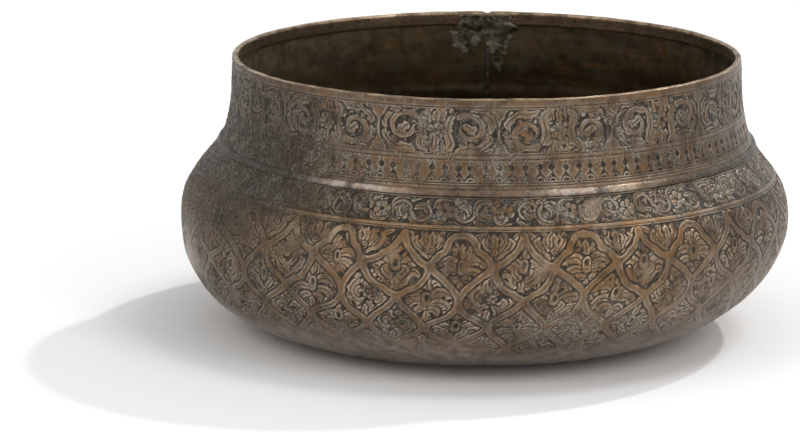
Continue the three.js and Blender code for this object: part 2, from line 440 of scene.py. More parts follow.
def panel_half():
    """The right half of a panel's leaf work, from the middle out."""
    items = frond((2.0, 3.0), (3.0, 7.4), 0.5, 3.2)
    items += frond((2.0, -3.4), (3.2, -7.4), -0.4, 3.0)
    items += palm([(11.6, 5.0), (14.4, 5.2), (16.4, 2.8), (15.8, -0.4)], 3.0, 4, 1)
    items += palm([(6.4, -6.8), (9.4, -6.0), (12.6, -6.0), (16.0, -3.0), (15.4, -0.8)], 3.0, 4, 1)
    items += palm([(3.2, -6.8), (5.0, -4.6), (4.0, -0.8), (4.6, 3.4), (7.0, 6.2)], 2.9, 4, 1)
    items += parted([stem(coil((9.7, 0.6), 5.1, 1.9, 125, -230), 2.1, 1.2)])
    items += frond((8.0, 2.0), (11.2, -1.0), 0.4, 3.4)
    items += frond((10.6, 6.6), (15.6, 7.2), -0.2, 2.2)
    items += leaf((14.0, -6.8), (17.0, -5.4), -0.3, 1.9)
    items += bud((12.3, -3.4), 0.9)
    items += bud((5.0, 6.6), 0.9)
    return items


def panel_design():
    items = both(panel_half())
    for way in (-1, 1):
        items += frond((0, 2.7 * way), (0, 7.3 * way), 0, 2.8)
    return stretched(items + rosette((0, 0), 2.9, 8), 1.12, 1)


def panel_work(field):
    """Panels with rounded ends between waisted dividers, filled with scrolling leaves."""
    middle, half = middle_and_half(panels)
    field.ground(*panels)
    small_leaves(field, panels[0] + 1, panels[1] - 1, 4.5)
    pitch = 360 / panel_count
    design = panel_design()
    heights = np.linspace(half, -half, 13)
    flare = 0.4 + 3.4 * (np.abs(heights) / half) ** 2.6
    waist = np.stack([0 * heights, heights], 1)
    for k in range(panel_count):
        divider = first_divider + k * pitch + rng.normal(0, 0.5)
        upright = design if k % 2 else stretched(design, 1, -1)
        field.draw(upright, divider + pitch / 2, middle, 1.02, rng.normal(0, 0.01), 0.28, panels)
        field.draw([("sink", waist, flare + 0.8)], divider, middle, within=panels)
        field.draw([("raise", waist, flare)], divider, middle, within=panels)


def lappet_work(field):
    """A row of hanging lappets, parted by ringed dots with a fan below each."""
    middle, half = middle_and_half(lappets)
    notch = np.array([(0, half), (0, half - 3.4), (0, -half - 0.4)])
    items = [
        cut(notch[:2]),
        disc("sink", (0, half - 1.9), 1.0),
        ("sink", notch[1:], np.array([0.1, 2.1])),
        even("raise", circle((0, -half - 0.5), 1.25, 16)[:9], 0.26),
    ]
    band = (lappets[0] - 0.5, lappets[1] + 0.3)
    for k in range(lappet_count):
        angle = k * 360 / lappet_count + rng.normal(0, 0.12)
        field.draw(items, angle, middle, shake=0.08, within=band)


def scroll_loop(kind):
    """One loop of the running scroll, with a rosette or a leaf in it."""
    if kind:
        return rosette((0, 0), 3.1, 6)
    items = parted([stem(coil((0, 0), 3.5, 2.9, -20, 250), 1.3, 0.7)])
    items += palm([(1.9, -2.0), (0.4, -2.0), (-1.3, -0.6), (-1.0, 1.4)], 1.7, 2, 1)
    return items + frond((0.6, -0.4), (1.0, 2.3), 0.2, 1.7)


def scroll_work(field):
    """A running scroll whose loops lie high and low by turns."""
    middle, _ = middle_and_half(scroll)
    field.ground(*scroll)
    small_leaves(field, scroll[0] + 1, scroll[1] - 1, 5.5)
    pitch = 360 / loop_count
    start = -math.radians(pitch) * radius_at(middle) / 2
    for k in range(loop_count):
        angle = k * pitch + rng.normal(0, 0.2)
        side = 1 if k % 2 else -1
        low = -side
        below = [(start, 1.4 * low), (-2.8, 3.4 * low), (-0.6, 4.5 * low), (2.2, 4.3 * low)]
        above = [(start, 3.2 * side), (-2.4, 4.2 * side), (-0.4, 4.6 * side)]
        corners = palm(below, 1.7, 3, side) + palm(above, 1.4, 2, side)
        field.draw(corners, angle, middle, shake=0.12, within=scroll)
        spin = rng.uniform(-0.7, 0.7) + (k % 2) * math.pi
        field.draw(scroll_loop(k % 3 == 1), angle, middle + 0.3 * side, 1.0, spin, 0.12, scroll)


# Paths of the straps, from the upper node to the lower one, as shares of the way across and down
STRAPS = {
    "pointed": [(0, 0), (0.07, 0.17), (0.2, 0.42), (0.36, 0.6), (0.5, 0.7), (0.56, 0.78), (0.74, 0.9)],
    "round": [(0, 0), (0.2, 0.03), (0.36, 0.14), (0.46, 0.32), (0.52, 0.5), (0.66, 0.58), (0.84, 0.76)],
    "full": [(0, 0), (0.1, 0.3), (0.3, 0.6), (0.52, 0.76), (0.66, 0.8), (0.76, 0.88), (0.88, 0.94)],
    "steep end": [(0, 0), (0.2, 0.16), (0.4, 0.3), (0.58, 0.44), (0.76, 0.6), (0.93, 0.8)],
    "steep start": [(0, 0), (0.03, 0.16), (0.16, 0.4), (0.36, 0.58), (0.6, 0.7), (0.82, 0.84)],
    "even": [(0, 0), (0.16, 0.22), (0.34, 0.38), (0.5, 0.5), (0.66, 0.62), (0.84, 0.78)],
}


def pointed_cell():
    items = frond((0, 3.4), (0, 9.4), 0, 3.6)
    items += both(palm([(0.7, 1.2), (2.8, 2.0), (4.6, 4.0), (3.4, 5.9), (2.0, 5.0)], 2.5, 3, -1))
    items += both(palm([(0.4, -7.6), (2.9, -6.0), (4.0, -3.4), (6.6, -2.4), (7.6, -4.0)], 2.5, 3, 1))
    items += both(palm([(0.8, -0.8), (3.8, 0.9), (6.6, 1.7), (9.8, 0.2)], 3.1, 4, -1))
    items += both(palm([(0.5, -4.6), (2.3, -3.4), (3.6, -1.6), (2.6, -0.2)], 2.2, 2, 1))
    items += frond((0, -4.2), (0, -9.8), 0, 3.2)
    items += parted([disc("raise", (0, 0.5), 1.6, 1.0)]) + [disc("sink", (0, 0.6), 0.75, 0.5)]
    items += both(leaf((5.8, 2.4), (8.6, 1.8), 0.3, 1.4, False))
    return items


def round_cell():
    items = both([stem(coil((3.2, 5.1), 2.2, 0.6, 200, -200), 1.5, 0.9)])
    items += frond((0, 3.6), (0, 8.8), 0, 3.0)
    items += both(palm([(0.6, 0.8), (3.2, 2.8), (6.4, 2.6), (9.8, 0.4)], 3.0, 4, -1))
    items += both(palm([(0.6, -1.4), (3.4, -0.6), (6.0, -1.4), (7.2, -3.4), (5.6, -4.2)], 2.7, 3, -1))
    items += both(palm([(0.4, -4.0), (2.0, -3.4), (3.9, -4.4), (3.8, -6.6)], 2.2, 3, -1))
    items += frond((0, -4.4), (0, -9.8), 0, 3.1)
    items += parted([disc("raise", (0, 0.6), 1.5, 1.1)]) + [disc("sink", (0, 0.9), 0.7, 0.5)]
    return items


def lower_cell():
    half = frond((0.6, 4.2), (0.8, 9.4), -0.4, 3.0)
    half += frond((3.2, 3.6), (3.6, 6.6), -0.3, 2.4)
    half += palm([(-0.4, -9.0), (2.8, -6.4), (6.4, -3.0), (6.6, 0.8), (4.0, 3.2), (1.9, 1.6)], 3.0, 5, -1)
    half += palm([(1.0, -1.0), (3.2, -2.4), (4.6, -0.8), (3.6, 0.9)], 2.1, 3, 1)
    half += frond((6.4, 1.8), (9.9, 0.2), 0.4, 2.6)
    half += palm([(0.4, -2.6), (2.2, -4.4), (1.4, -6.6)], 2.1, 2, 1)
    return half + stretched(half, -1, -1) + rosette((0, 0), 1.9, 6)


def spandrel():
    items = both(leaf((6.8, 2.8), (10.2, 5.2), 0.4, 2.2))
    items += both(palm([(0.6, -4.0), (2.4, -2.2), (4.6, -1.0), (6.4, 1.4), (5.2, 3.6)], 2.9, 3, 1))
    items += both(palm([(0.2, -1.2), (2.0, 0.2), (3.2, 2.4), (2.0, 4.6)], 2.4, 2, -1))
    items += frond((0, -0.6), (0, 5.2), 0, 3.4)
    items += frond((0, -2.0), (0, -6.8), 0, 2.2)
    items += both(bud((3.6, 4.6), 0.9))
    return items + bud((0, -1.4), 1.3)


def strap(kind, start, end):
    """Angles and distances of a strap's points between two nodes."""
    shares = curve(STRAPS[kind] + [(1, 1)], 3)
    return (start + (end - start) * shares).T


def strap_kind(row, k, side):
    """Peaks are pointed and rounded by turns, and straps run steeply past each other below the
    rounded ones."""
    if row == 1:
        return "steep end" if (k + (side > 0)) % 2 else "full"
    kinds = {0: ("pointed", "round"), 2: ("even", "steep start")}
    return kinds.get(row, ("even", "even"))[k % 2]


def lattice_nodes():
    """Angle and distance of each node of the net, row by row."""
    nodes = []
    for row, at in enumerate(crossings):
        places = (np.arange(cell_count) + 0.5 * (row % 2)) * 360 / cell_count
        angles = first_cell + places + rng.normal(0, 0.35, cell_count)
        distances = at + rng.normal(0, 0.45 if row else 0.15, cell_count)
        nodes.append(np.stack([angles, distances], 1))
    return nodes


def crossing(nodes, row, k):
    """The node with a number in its row, counted on past a full turn."""
    turns, k = divmod(k, cell_count)
    return nodes[row][k] + np.array([360 * turns, 0])


def draw_cells(field, nodes):
    """Fills the cells of the net, and the spandrels above it, with leaves."""
    designs = [pointed_cell(), round_cell(), lower_cell()]
    for row in range(len(crossings) - 2):
        for k in range(cell_count):
            top, bottom = crossing(nodes, row, k), crossing(nodes, row + 2, k)
            left, right = (crossing(nodes, row + 1, k + row % 2 - step) for step in (1, 0))
            angle, distance = (left[0] + right[0]) / 2, (top[1] + bottom[1]) / 2
            size = math.radians(right[0] - left[0]) * radius_at(distance) / drawn_cell * motif_fill
            design = designs[(k + row) % 3 if row else k % 2]
            field.draw(design, angle, distance, size, rng.normal(0, 0.05), 0.2)
    design = spandrel()
    for k in range(cell_count):
        angle = crossing(nodes, 1, k)[0]
        field.draw(design, angle, spandrels_at, motif_fill, rng.normal(0, 0.04), 0.12, lattice)


def draw_straps(field, nodes):
    """Lays the straps over dark gaps, wider where they cross."""
    straps = []
    for row in range(len(crossings) - 1):
        for k in range(cell_count):
            for side in (-1, 1):
                last = crossing(nodes, row + 1, k + (side > 0) - (row % 2 == 0))
                path = strap(strap_kind(row, k, side), crossing(nodes, row, k), last)
                straps.append((*path, crossing_swells[row], crossing_swells[row + 1]))
    for extra, kind in ((strap_gap, "sink"), (0.0, "raise")):
        for angle, distance, first_swell, last_swell in straps:
            middle = len(angle) // 2
            across = np.radians(angle - angle[middle]) * radius_at(distance[middle])
            line = np.stack([across, distance[middle] - distance], 1)
            widths = np.full(len(line), strap_half + extra)
            if kind == "raise":
                widths[:2] += first_swell * np.array([1, 0.4])
                widths[-2:] += last_swell * np.array([0.4, 1])
            field.draw([(kind, line, widths)], angle[middle], distance[middle])


def lattice_work(field):
    """A net of ogee straps round the belly, with leaves in its cells."""
    field.ground(lattice[0], lattice[1] + 3)
    small_leaves(field, lattice[0] + 1, lattice[1], 8)
    nodes = lattice_nodes()
    draw_cells(field, nodes)
    draw_straps(field, nodes)


# Meshes

# Of these, edge is painted highlight on raised edges and shade is painted shade; wear and dirt add
# painted highlight and painted shade to real wear and grime
MARKS = ("top", "edge", "cavity", "wear", "dirt", "bloom", "shade", "amber")


def plain_marks(count, **values):
    """Marks of bare metal for so many points, with those that are named set to a value."""
    marks = np.zeros((count, len(MARKS)))
    for name, value in {"top": 1, **values}.items():
        marks[:, MARKS.index(name)] = value
    return marks


def placed(name, data):
    """A new object in the scene."""
    item = bpy.data.objects.new(name, data)
    bpy.context.scene.collection.objects.link(item)
    return item


class Shell:
    """A mesh made of rows of points that run round the bowl."""

    def __init__(self, angles, wraps):
        self.angles, self.wraps = angles, wraps
        self.columns = len(angles) if wraps else len(angles) - 1
        self.points, self.marks, self.rows = [], [], []
        self.faces, self.uvs, self.slots = [], [], []
        self.total = 0

    def row(self, every, radius, height, marks=None, outer=False, share=0.0, slot=0):
        """Adds a row with one point in so many of the columns. The share is how far down the
        outer face it lies."""
        angles = np.radians(self.angles[::every])
        count = len(angles)
        radius = np.broadcast_to(radius, (count,))
        height = np.broadcast_to(height, (count,))
        x, y, z = hand_made(radius * np.cos(angles), radius * np.sin(angles), height)
        self.points.append(np.stack([x, y, z], 1))
        self.marks.append(plain_marks(count) if marks is None else marks)
        self.rows.append((self.total, count, every, outer, share, slot))
        self.total += count
        if len(self.rows) > 1:
            self.join(self.rows[-2], self.rows[-1])

    def course(self, every, distance, depth=0.0, lift=0.0, **how):
        """Adds a row by its distance along the wall and its depth below the outer face."""
        radius, height = wall(distance, depth)
        self.row(every, radius, height + lift, **how)

    def outer_face(self, field, depth, marks, upwards=False):
        """Adds the rows of an ornate outer face."""
        first, last = field.distances[0], field.distances[-1]
        order = range(len(field.distances))
        for k in reversed(order) if upwards else order:
            share = (field.distances[k] - first) / (last - first)
            self.course(1, field.distances[k], depth[k], marks=marks[k], outer=True, share=share)

    def join(self, upper, lower):
        """Adds the faces between two rows, of which one may have more points."""
        coarse = max(upper[2], lower[2])
        spans = np.arange(self.columns // coarse)
        corners, columns, below = [], [], []
        for is_lower, (start, count, every, *_) in enumerate((upper, lower)):
            parts = coarse // every
            for step in range(parts + 1) if is_lower else range(parts, -1, -1):
                k = spans * parts + step
                corners.append(start + (k % count if self.wraps else k))
                columns.append(k * every)
                below.append(is_lower)
        self.faces.append(np.stack(corners, 1))
        columns, below = np.stack(columns, 1), np.array(below)
        (*_, upper_outer, upper_share, slot), (*_, lower_outer, lower_share, _) = upper, lower
        if upper_outer and lower_outer:
            # The outer face lies on the map in six lengths, two by three
            part = columns.min(1)[:, None] * 6 // self.columns
            along = columns / self.columns * 6 - part
            down = np.where(below, lower_share, upper_share)
            u = (part % 2 + 0.01 + 0.98 * along) / 2
            v = 0.25 + 0.75 * (part // 2 + 0.01 + 0.98 * down) / 3
        else:
            strip = len(self.rows) / 200 % 1
            u = columns / self.columns
            v = 0.24 * (strip + 0.004 * below + 0 * columns)
        self.uvs.append(np.stack([u, v], 2))
        self.slots.append(np.full(len(spans), slot))

    def cap(self):
        """Closes the first and the last row with one face each."""
        for (start, count, *_, slot), way in ((self.rows[0], 1), (self.rows[-1], -1)):
            self.flat_face((start + np.arange(count))[::way], slot)

    def flat_face(self, ring, slot):
        turn = np.arange(len(ring)) / len(ring) * 2 * math.pi
        self.faces.append(ring[None, :])
        self.uvs.append(np.stack([0.02 + 0.01 * np.cos(turn), 0.245 + 0.002 * np.sin(turn)], 1)[None])
        self.slots.append(np.array([slot]))

    def close(self):
        """Joins the last row to the first, and caps the ends of a ring that is cut through."""
        self.join(self.rows[-1], self.rows[0])
        if not self.wraps:
            first = np.array([start for start, *_ in self.rows])
            last = first + np.array([count - 1 for _, count, *_ in self.rows])
            self.flat_face(first[::-1], 0)
            self.flat_face(last, 0)

    def add(self, other):
        """Takes in the points and faces of another closed shell."""
        self.faces += [block + self.total for block in other.faces]
        self.points += other.points
        self.marks += other.marks
        self.uvs += other.uvs
        self.slots += other.slots
        self.total += other.total

    def build(self, name, materials, inward=False):
        """A mesh object in metres, with its faces turned over where the rows ran inwards."""
        way = -1 if inward else 1
        points = (np.concatenate(self.points) * MM).astype(np.float32)
        corners = np.concatenate([block[:, ::way].ravel() for block in self.faces]).astype(np.int32)
        sizes = np.concatenate([np.full(len(block), block.shape[1]) for block in self.faces])
        starts = np.concatenate([[0], np.cumsum(sizes)[:-1]]).astype(np.int32)
        mesh = bpy.data.meshes.new(name)
        mesh.vertices.add(len(points))
        mesh.vertices.foreach_set("co", points.ravel())
        mesh.loops.add(len(corners))
        mesh.loops.foreach_set("vertex_index", corners)
        mesh.polygons.add(len(sizes))
        mesh.polygons.foreach_set("loop_start", starts)
        mesh.polygons.foreach_set("material_index", np.concatenate(self.slots).astype(np.int32))
        mesh.update(calc_edges=True)
        mesh.polygons.foreach_set("use_smooth", np.ones(len(sizes), bool))
        flat = np.concatenate([block[:, ::way].reshape(-1, 2) for block in self.uvs])
        mesh.uv_layers.new(name="OFBake").data.foreach_set("uv", flat.astype(np.float32).ravel())
        for mark, values in zip(MARKS, np.concatenate(self.marks).T):
            attribute = mesh.attributes.new(mark, "FLOAT", "POINT")
            attribute.data.foreach_set("value", np.ascontiguousarray(values, np.float32))
        for material in materials:
            mesh.materials.append(material)
        return placed(name, mesh)


def ring(columns):
    """A shell of whole circles."""
    return Shell(np.arange(columns) * 360 / columns, True)


# Materials


class Nodes:
    """Short calls for the nodes of a material or a world."""

    def __init__(self, owner):
        owner.use_nodes = True
        self.owner, self.tree = owner, owner.node_tree

    def fill(self, node, sockets):
        """Sets a node's sockets, by name or number, to values or to other nodes' outputs."""
        for key, value in sockets.items():
            socket = node.inputs[key]
            if isinstance(value, bpy.types.NodeSocket):
                self.tree.links.new(value, socket)
            else:
                socket.default_value = (*value, 1.0) if socket.type == "RGBA" else value

    def add(self, kind, sockets, **values):
        node = self.tree.nodes.new(kind)
        for key, value in values.items():
            setattr(node, key, value)
        self.fill(node, sockets)
        return node

    def mark(self, name):
        return self.add("ShaderNodeAttribute", {}, attribute_name=name).outputs["Fac"]

    def noise(self, per_metre, detail=4.0, rough=0.55, stretch=(1, 1, 1), seed=0.0):
        place = self.add("ShaderNodeTexCoord", {}).outputs["Object"]
        moved = {"Vector": place, "Scale": stretch, "Location": (seed, seed * 0.7, seed * 0.3)}
        place = self.add("ShaderNodeMapping", moved).outputs["Vector"]
        sockets = {"Vector": place, "Scale": per_metre, "Detail": detail, "Roughness": rough}
        return self.add("ShaderNodeTexNoise", sockets).outputs["Fac"]

    def span(self, value, low, high, to_low=0.0, to_high=1.0):
        ends = {"From Min": low, "From Max": high, "To Min": to_low, "To Max": to_high}
        node = self.add("ShaderNodeMapRange", {"Value": value, **ends}, interpolation_type="SMOOTHSTEP")
        return node.outputs["Result"]

    def math(self, operation, a, b):
        return self.add("ShaderNodeMath", {0: a, 1: b}, operation=operation).outputs[0]

    def times(self, a, b):
        return self.math("MULTIPLY", a, b)

    def mix(self, share, a, b, blend="MIX"):
        sockets = {"Factor": share, 6: a, 7: b}
        return self.add("ShaderNodeMix", sockets, data_type="RGBA", blend_type=blend).outputs[2]

    def finish(self, colour, rough, metallic, height, depth):
        """Sets the shader, with a relief of that depth, and gives the material."""
        relief = self.add("ShaderNodeBump", {"Distance": depth, "Height": height})
        sockets = {"Base Color": colour, "Roughness": rough, "Metallic": metallic}
        sockets["Normal"] = relief.outputs["Normal"]
        self.fill(self.tree.nodes["Principled BSDF"], sockets)
        return self.owner


def engraved_brass():
    n = Nodes(bpy.data.materials.new("engraved_brass"))
    top, edge, cavity, wear, dirt, bloom, shade, amber = (n.mark(name) for name in MARKS)
    warm = n.noise(48, 3, 0.55)
    mottle = n.noise(300, 5, 0.62, seed=3.0)
    patch = n.noise(130, 3, 0.6, seed=11.0)
    grain = n.noise(1500, 3, 0.7, seed=5.0)
    speck = n.noise(1700, 2, 0.6, seed=8.0)
    copper = n.noise(280, 3, 0.6, seed=14.0)
    streak = n.noise(800, 2, 0.5, stretch=(1, 1, 0.1), seed=1.0)
    metal = n.mix(n.span(mottle, 0.38, 0.64), (0.122, 0.084, 0.058), (0.205, 0.154, 0.116))
    metal = n.mix(n.span(warm, 0.5, 0.66), metal, (0.205, 0.134, 0.077))
    metal = n.mix(n.span(copper, 0.53, 0.61, 0, 0.6), metal, (0.235, 0.135, 0.07))
    metal = n.mix(n.span(grain, 0.6, 0.7, 0, 0.5), metal, (0.05, 0.04, 0.033))
    # Painted highlight on raised edges, as strong as the edge mark
    metal = n.mix(n.times(edge, n.span(patch, 0.42, 0.6, 0.1, 1)), metal, (0.5, 0.45, 0.39))
    ground = n.mix(n.span(grain, 0.44, 0.7), (0.026, 0.023, 0.02), (0.12, 0.1, 0.08))
    ground = n.mix(n.times(cavity, 0.85), ground, (0.018, 0.015, 0.013))
    colour = n.mix(top, ground, metal)
    # Bare worn metal, and painted highlight where the wear mark holds the left glint, the right edge and
    # the ridge's front lengths
    bare_and_highlight = n.mix(n.span(mottle, 0.35, 0.65), (0.27, 0.214, 0.178), (0.4, 0.335, 0.285))
    colour = n.mix(n.times(wear, n.span(mottle, 0.25, 0.6, 0.5, 1)), colour, bare_and_highlight)
    # Grime, and painted shade where the dirt mark was raised on the right of the ridge
    stain_and_shade_colour = n.mix(n.span(grain, 0.44, 0.6), (0.022, 0.021, 0.018), (0.145, 0.134, 0.117))
    colour = n.mix(n.times(dirt, n.span(top, 0, 1, 0.4, 0.8)), colour, stain_and_shade_colour)
    film = n.mix(n.span(grain, 0.44, 0.64), (0.035, 0.036, 0.03), (0.28, 0.27, 0.24))
    share = n.times(n.span(mottle, 0.4, 0.6, 0.2, 0.9), n.span(top, 0, 1, 1, 0.5))
    colour = n.mix(n.times(bloom, share), colour, film)
    colour = n.mix(n.times(bloom, n.span(speck, 0.54, 0.66, 0, 0.9)), colour, (0.47, 0.45, 0.42))
    colour = n.mix(n.span(streak, 0.54, 0.68, 0, 0.3), colour, (0.27, 0.245, 0.22))
    colour = n.mix(amber, colour, (0.86, 0.72, 0.54), "MULTIPLY")
    # Painted shade, as deep as the shade mark
    colour = n.mix(shade, colour, (0.6, 0.57, 0.52), "MULTIPLY")
    rough = n.math("ADD", n.span(top, 0, 1, 0.5, 0.34), n.span(mottle, 0.3, 0.7, -0.06, 0.12))
    rough = n.math("ADD", rough, n.times(dirt, 0.08))
    pits = n.times(grain, n.math("ADD", 0.6, n.times(dirt, 1.6)))
    relief = n.math("ADD", pits, mottle)
    return n.finish(colour, rough, n.span(top, 0, 1, 0.65, 0.92), relief, 0.0002)


def inner_brass():
    n = Nodes(bpy.data.materials.new("inner_brass"))
    streaks = n.noise(30, 4, 0.6, stretch=(1, 1, 5))
    mottle = n.noise(180, 5, 0.65, seed=2.0)
    spots = n.noise(90, 4, 0.6, seed=4.0)
    colour = n.mix(n.span(streaks, 0.38, 0.62), (0.07, 0.052, 0.03), (0.135, 0.092, 0.048))
    colour = n.mix(n.span(mottle, 0.5, 0.72), colour, (0.085, 0.082, 0.062))
    colour = n.mix(n.span(spots, 0.56, 0.68, 0, 0.8), colour, (0.2, 0.11, 0.045))
    # Painted light on the left of the inner face
    colour = n.mix(n.times(n.mark("wear"), 0.75), colour, (0.22, 0.175, 0.105))
    return n.finish(colour, n.span(mottle, 0.3, 0.7, 0.36, 0.58), 0.85, mottle, 0.0002)


def lip_brass():
    n = Nodes(bpy.data.materials.new("lip_brass"))
    mottle = n.noise(150, 5, 0.62)
    fine = n.noise(900, 3, 0.6, seed=6.0)
    colour = n.mix(n.span(mottle, 0.36, 0.66), (0.36, 0.26, 0.165), (0.13, 0.088, 0.055))
    colour = n.mix(n.span(fine, 0.5, 0.68, 0, 0.6), colour, (0.075, 0.06, 0.045))
    return n.finish(colour, n.span(mottle, 0.3, 0.7, 0.28, 0.5), 0.95, mottle, 0.00015)


def solder(name, dark, pale):
    n = Nodes(bpy.data.materials.new(name))
    mottle = n.noise(260, 5, 0.7)
    colour = n.mix(n.span(mottle, 0.36, 0.66), dark, pale)
    return n.finish(colour, n.span(mottle, 0.3, 0.7, 0.4, 0.65), 0.75, mottle, 0.0004)


outer_metal, inner_metal, lip_metal = engraved_brass(), inner_brass(), lip_brass()
wall_metals = [outer_metal, lip_metal, inner_metal]
grey_solder = solder("grey_solder", (0.045, 0.037, 0.023), (0.22, 0.195, 0.15))
brown_solder = solder("brown_solder", (0.07, 0.055, 0.038), (0.12, 0.105, 0.085))


# Pieces


def stack(start, end, step, close=()):
    """Distances from start to end about a step apart, finer near those in close."""
    count = max(1, round((end - start) / step))
    offsets = (-0.4, -0.25, -0.1, 0.1, 0.25, 0.4)
    extra = [at + off for at in close for off in offsets if start < at + off < end]
    merged = np.sort(np.concatenate([np.linspace(start, end, count + 1), extra]))
    keep = [merged[0]]
    for at in merged[1:]:
        if at - keep[-1] > 0.11:
            keep.append(at)
    keep[-1] = end
    return np.array(keep)


def blurred(values, times, wraps):
    """Values spread to their neighbours."""
    for _ in range(times):
        side = np.pad(values, ((0, 0), (1, 1)), mode="wrap" if wraps else "edge")
        values = (side[:, :-2] + side[:, 1:-1] + side[:, 2:]) / 3
        over = np.pad(values, ((1, 1), (0, 0)), mode="edge")
        values = (over[:-2] + over[1:-1] + over[2:]) / 3
    return values


# How deep the painted shade is and how brown the old brass is, by distance along the wall
shades = [(0, 5, 20, 31, 34, 43.6, 44.4, 47, 60), (0.4, 0.5, 0.65, 0.75, 1, 1, 0, 0.5, 0.05)]
ambers = [(0, 3, 30, 35, 42, 44, 60, 78, 100), (0.3, 0.3, 0.3, 0.05, 0.05, 0.8, 0.8, 0.4, 0)]
# How thick the grime on the left is, and how far it fills the work, by the same distance
grimes = [(0, 16, 20, 65, 85), (0.45, 0.5, 1, 0.8, 0)]
fills = [(0, 16, 20, 34, 50, 80), (0.1, 0.1, 0.8, 0.8, 0.3, 0.3)]
# Soft patches, by angle, spread in degrees, distance along the wall and reach
scuff_patch = (288, 8, 81, 9)
# The glint patch is a painted highlight at the left of the belly, and the sheen patch a painted highlight
# on the upper left straps
glint_patch = (196, 8, 76, 8)
sheen_patch = (239, 10, 50, 5)
dent_patch = (192, 5, 66, 6)


def outer_depths(field):
    """How far each point of a field lies below the smooth wall, and its marks."""
    for at in turned_lines:
        field.turned(at)
    angles, distances = field.angles[None, :], field.distances[:, None]
    bottom = smooth(distances + 5 * field.waves(11, 60), 82, 101)
    rubbing_and_sheen = field.blotches(12, 22, 0.9, 2.0) * np.where(distances < joint_at, 0.35, 0.6)
    scuff = field.spot(*scuff_patch) * field.blotches(37, 9, -1.2, 0.6)
    glint = field.spot(*glint_patch)
    # Old grime lies thickest on the left of the neck and shoulder, and fills the work there
    left = (1 - smooth(away(angles, 203), 22, 45)) * (1 - 0.5 * smooth(distances, 40, 56))
    left = left * np.interp(distances, *grimes)
    filled = left * np.interp(distances, *fills)
    # Far left: dark mottled grime in the work, and painted shade through the shade mark
    soot_and_shade = (1 - smooth(away(angles, 195), 15, 40)) * (1 - smooth(distances, 56, 70))
    filled = np.maximum(filled, 0.75 * soot_and_shade * smooth(distances, 35, 40))
    # A painted reflection along the right edge of the belly
    side = smooth(away(angles, 350), 60, 20) * smooth(distances, 55, 75)
    # Real wear, with the painted highlight of the glint patch and the painted reflection along the right
    # edge
    wear_and_glint = np.maximum.reduce([bottom, rubbing_and_sheen, 0.3 * scuff, glint, 0.3 * side])
    top = 1 - (1 - field.top) * (1 - np.maximum(wear_and_glint, filled))
    line = field.line * (1 - np.maximum(0.6 * wear_and_glint, filled))
    depth = ground_depth * (1 - top) * (1 + 0.3 * field.waves(18, 9)) + line_depth * line * top
    depth = depth - 0.1 * field.waves(13, 26) - 0.03 * field.waves(14, 7)
    depth = depth - (0.06 * filled + 0.08 * soot_and_shade) * field.waves(28, 2)
    surface = top * (1 - 0.9 * line)
    # Painted highlight along raised edges, with a painted sheen patch and painted glinting specks on the
    # left
    edge = np.clip((surface - blurred(surface, 3, field.wraps)) * 2.6, 0, 1)
    specks = left * field.blotches(38, 1.5, 1.0, 2.2, 30)
    edge = np.maximum.reduce([edge, 0.8 * field.spot(*sheen_patch), specks]) * surface
    cavity = np.clip(blurred(surface, 2, field.wraps) * 2.0, 0, 1) * (1 - surface)
    surface = surface * (1 - 0.75 * soot_and_shade * field.blotches(39, 1.8, -0.2, 0.8, 30))
    dirt = np.clip(0.95 * left + 0.7 * field.blotches(19, 16, 0.5, 1.7) * (1 - bottom), 0, 1)
    dirt = dirt * smooth(distances, 1.5, 4.5) * (1 - glint)
    # A grey bloom lies in patches down to the shoulder, and the belly is browner below it
    bloom = field.blotches(35, 10, -0.3, 1.3, 30) * (1 - smooth(distances, 42, 45))
    bloom = np.maximum(bloom, 0.5 * field.blotches(26, 9, 0.7, 1.8, 30)) * (1 - bottom)
    low = np.exp(-(((distances - 86) / 6) ** 2)) * field.blotches(36, 11, -0.4, 1, 30)
    bloom = np.maximum.reduce([bloom, 0.8 * low, scuff]) * smooth(distances, 2, 4) * (1 - glint)
    # Painted shade on the right of the bowl, which also holds back the brown there
    right = smooth(away(angles, 270), 25, 60) * (1 - smooth(distances, 90, 100))
    shade = np.clip(np.interp(distances, *shades) + 0.55 * right + 0.35 * soot_and_shade, 0, 1)
    amber = np.interp(distances, *ambers)
    amber = np.clip(amber * (1 - 0.5 * right + 0.25 * field.waves(27, 30)), 0, 1)
    marks = np.stack(np.broadcast_arrays(surface, edge, cavity, wear_and_glint, dirt, bloom, shade, amber), 2)
    return depth, marks


def lip_wobble(angles):
    """How far the lip rises and falls, with a nick where the seam ends."""
    nick = 0.6 * np.exp(-((away(angles, BACK) / 0.8) ** 2))
    return 0.05 * waves(angles, 0.0, 15, 22) + 0.1 * waves(angles, 0.0, 16, 80) - nick


def inner_marks(angles):
    """Marks for inner faces, with painted light on the left."""
    return plain_marks(len(angles), wear=1 - smooth(away(angles, 168), 12, 60))


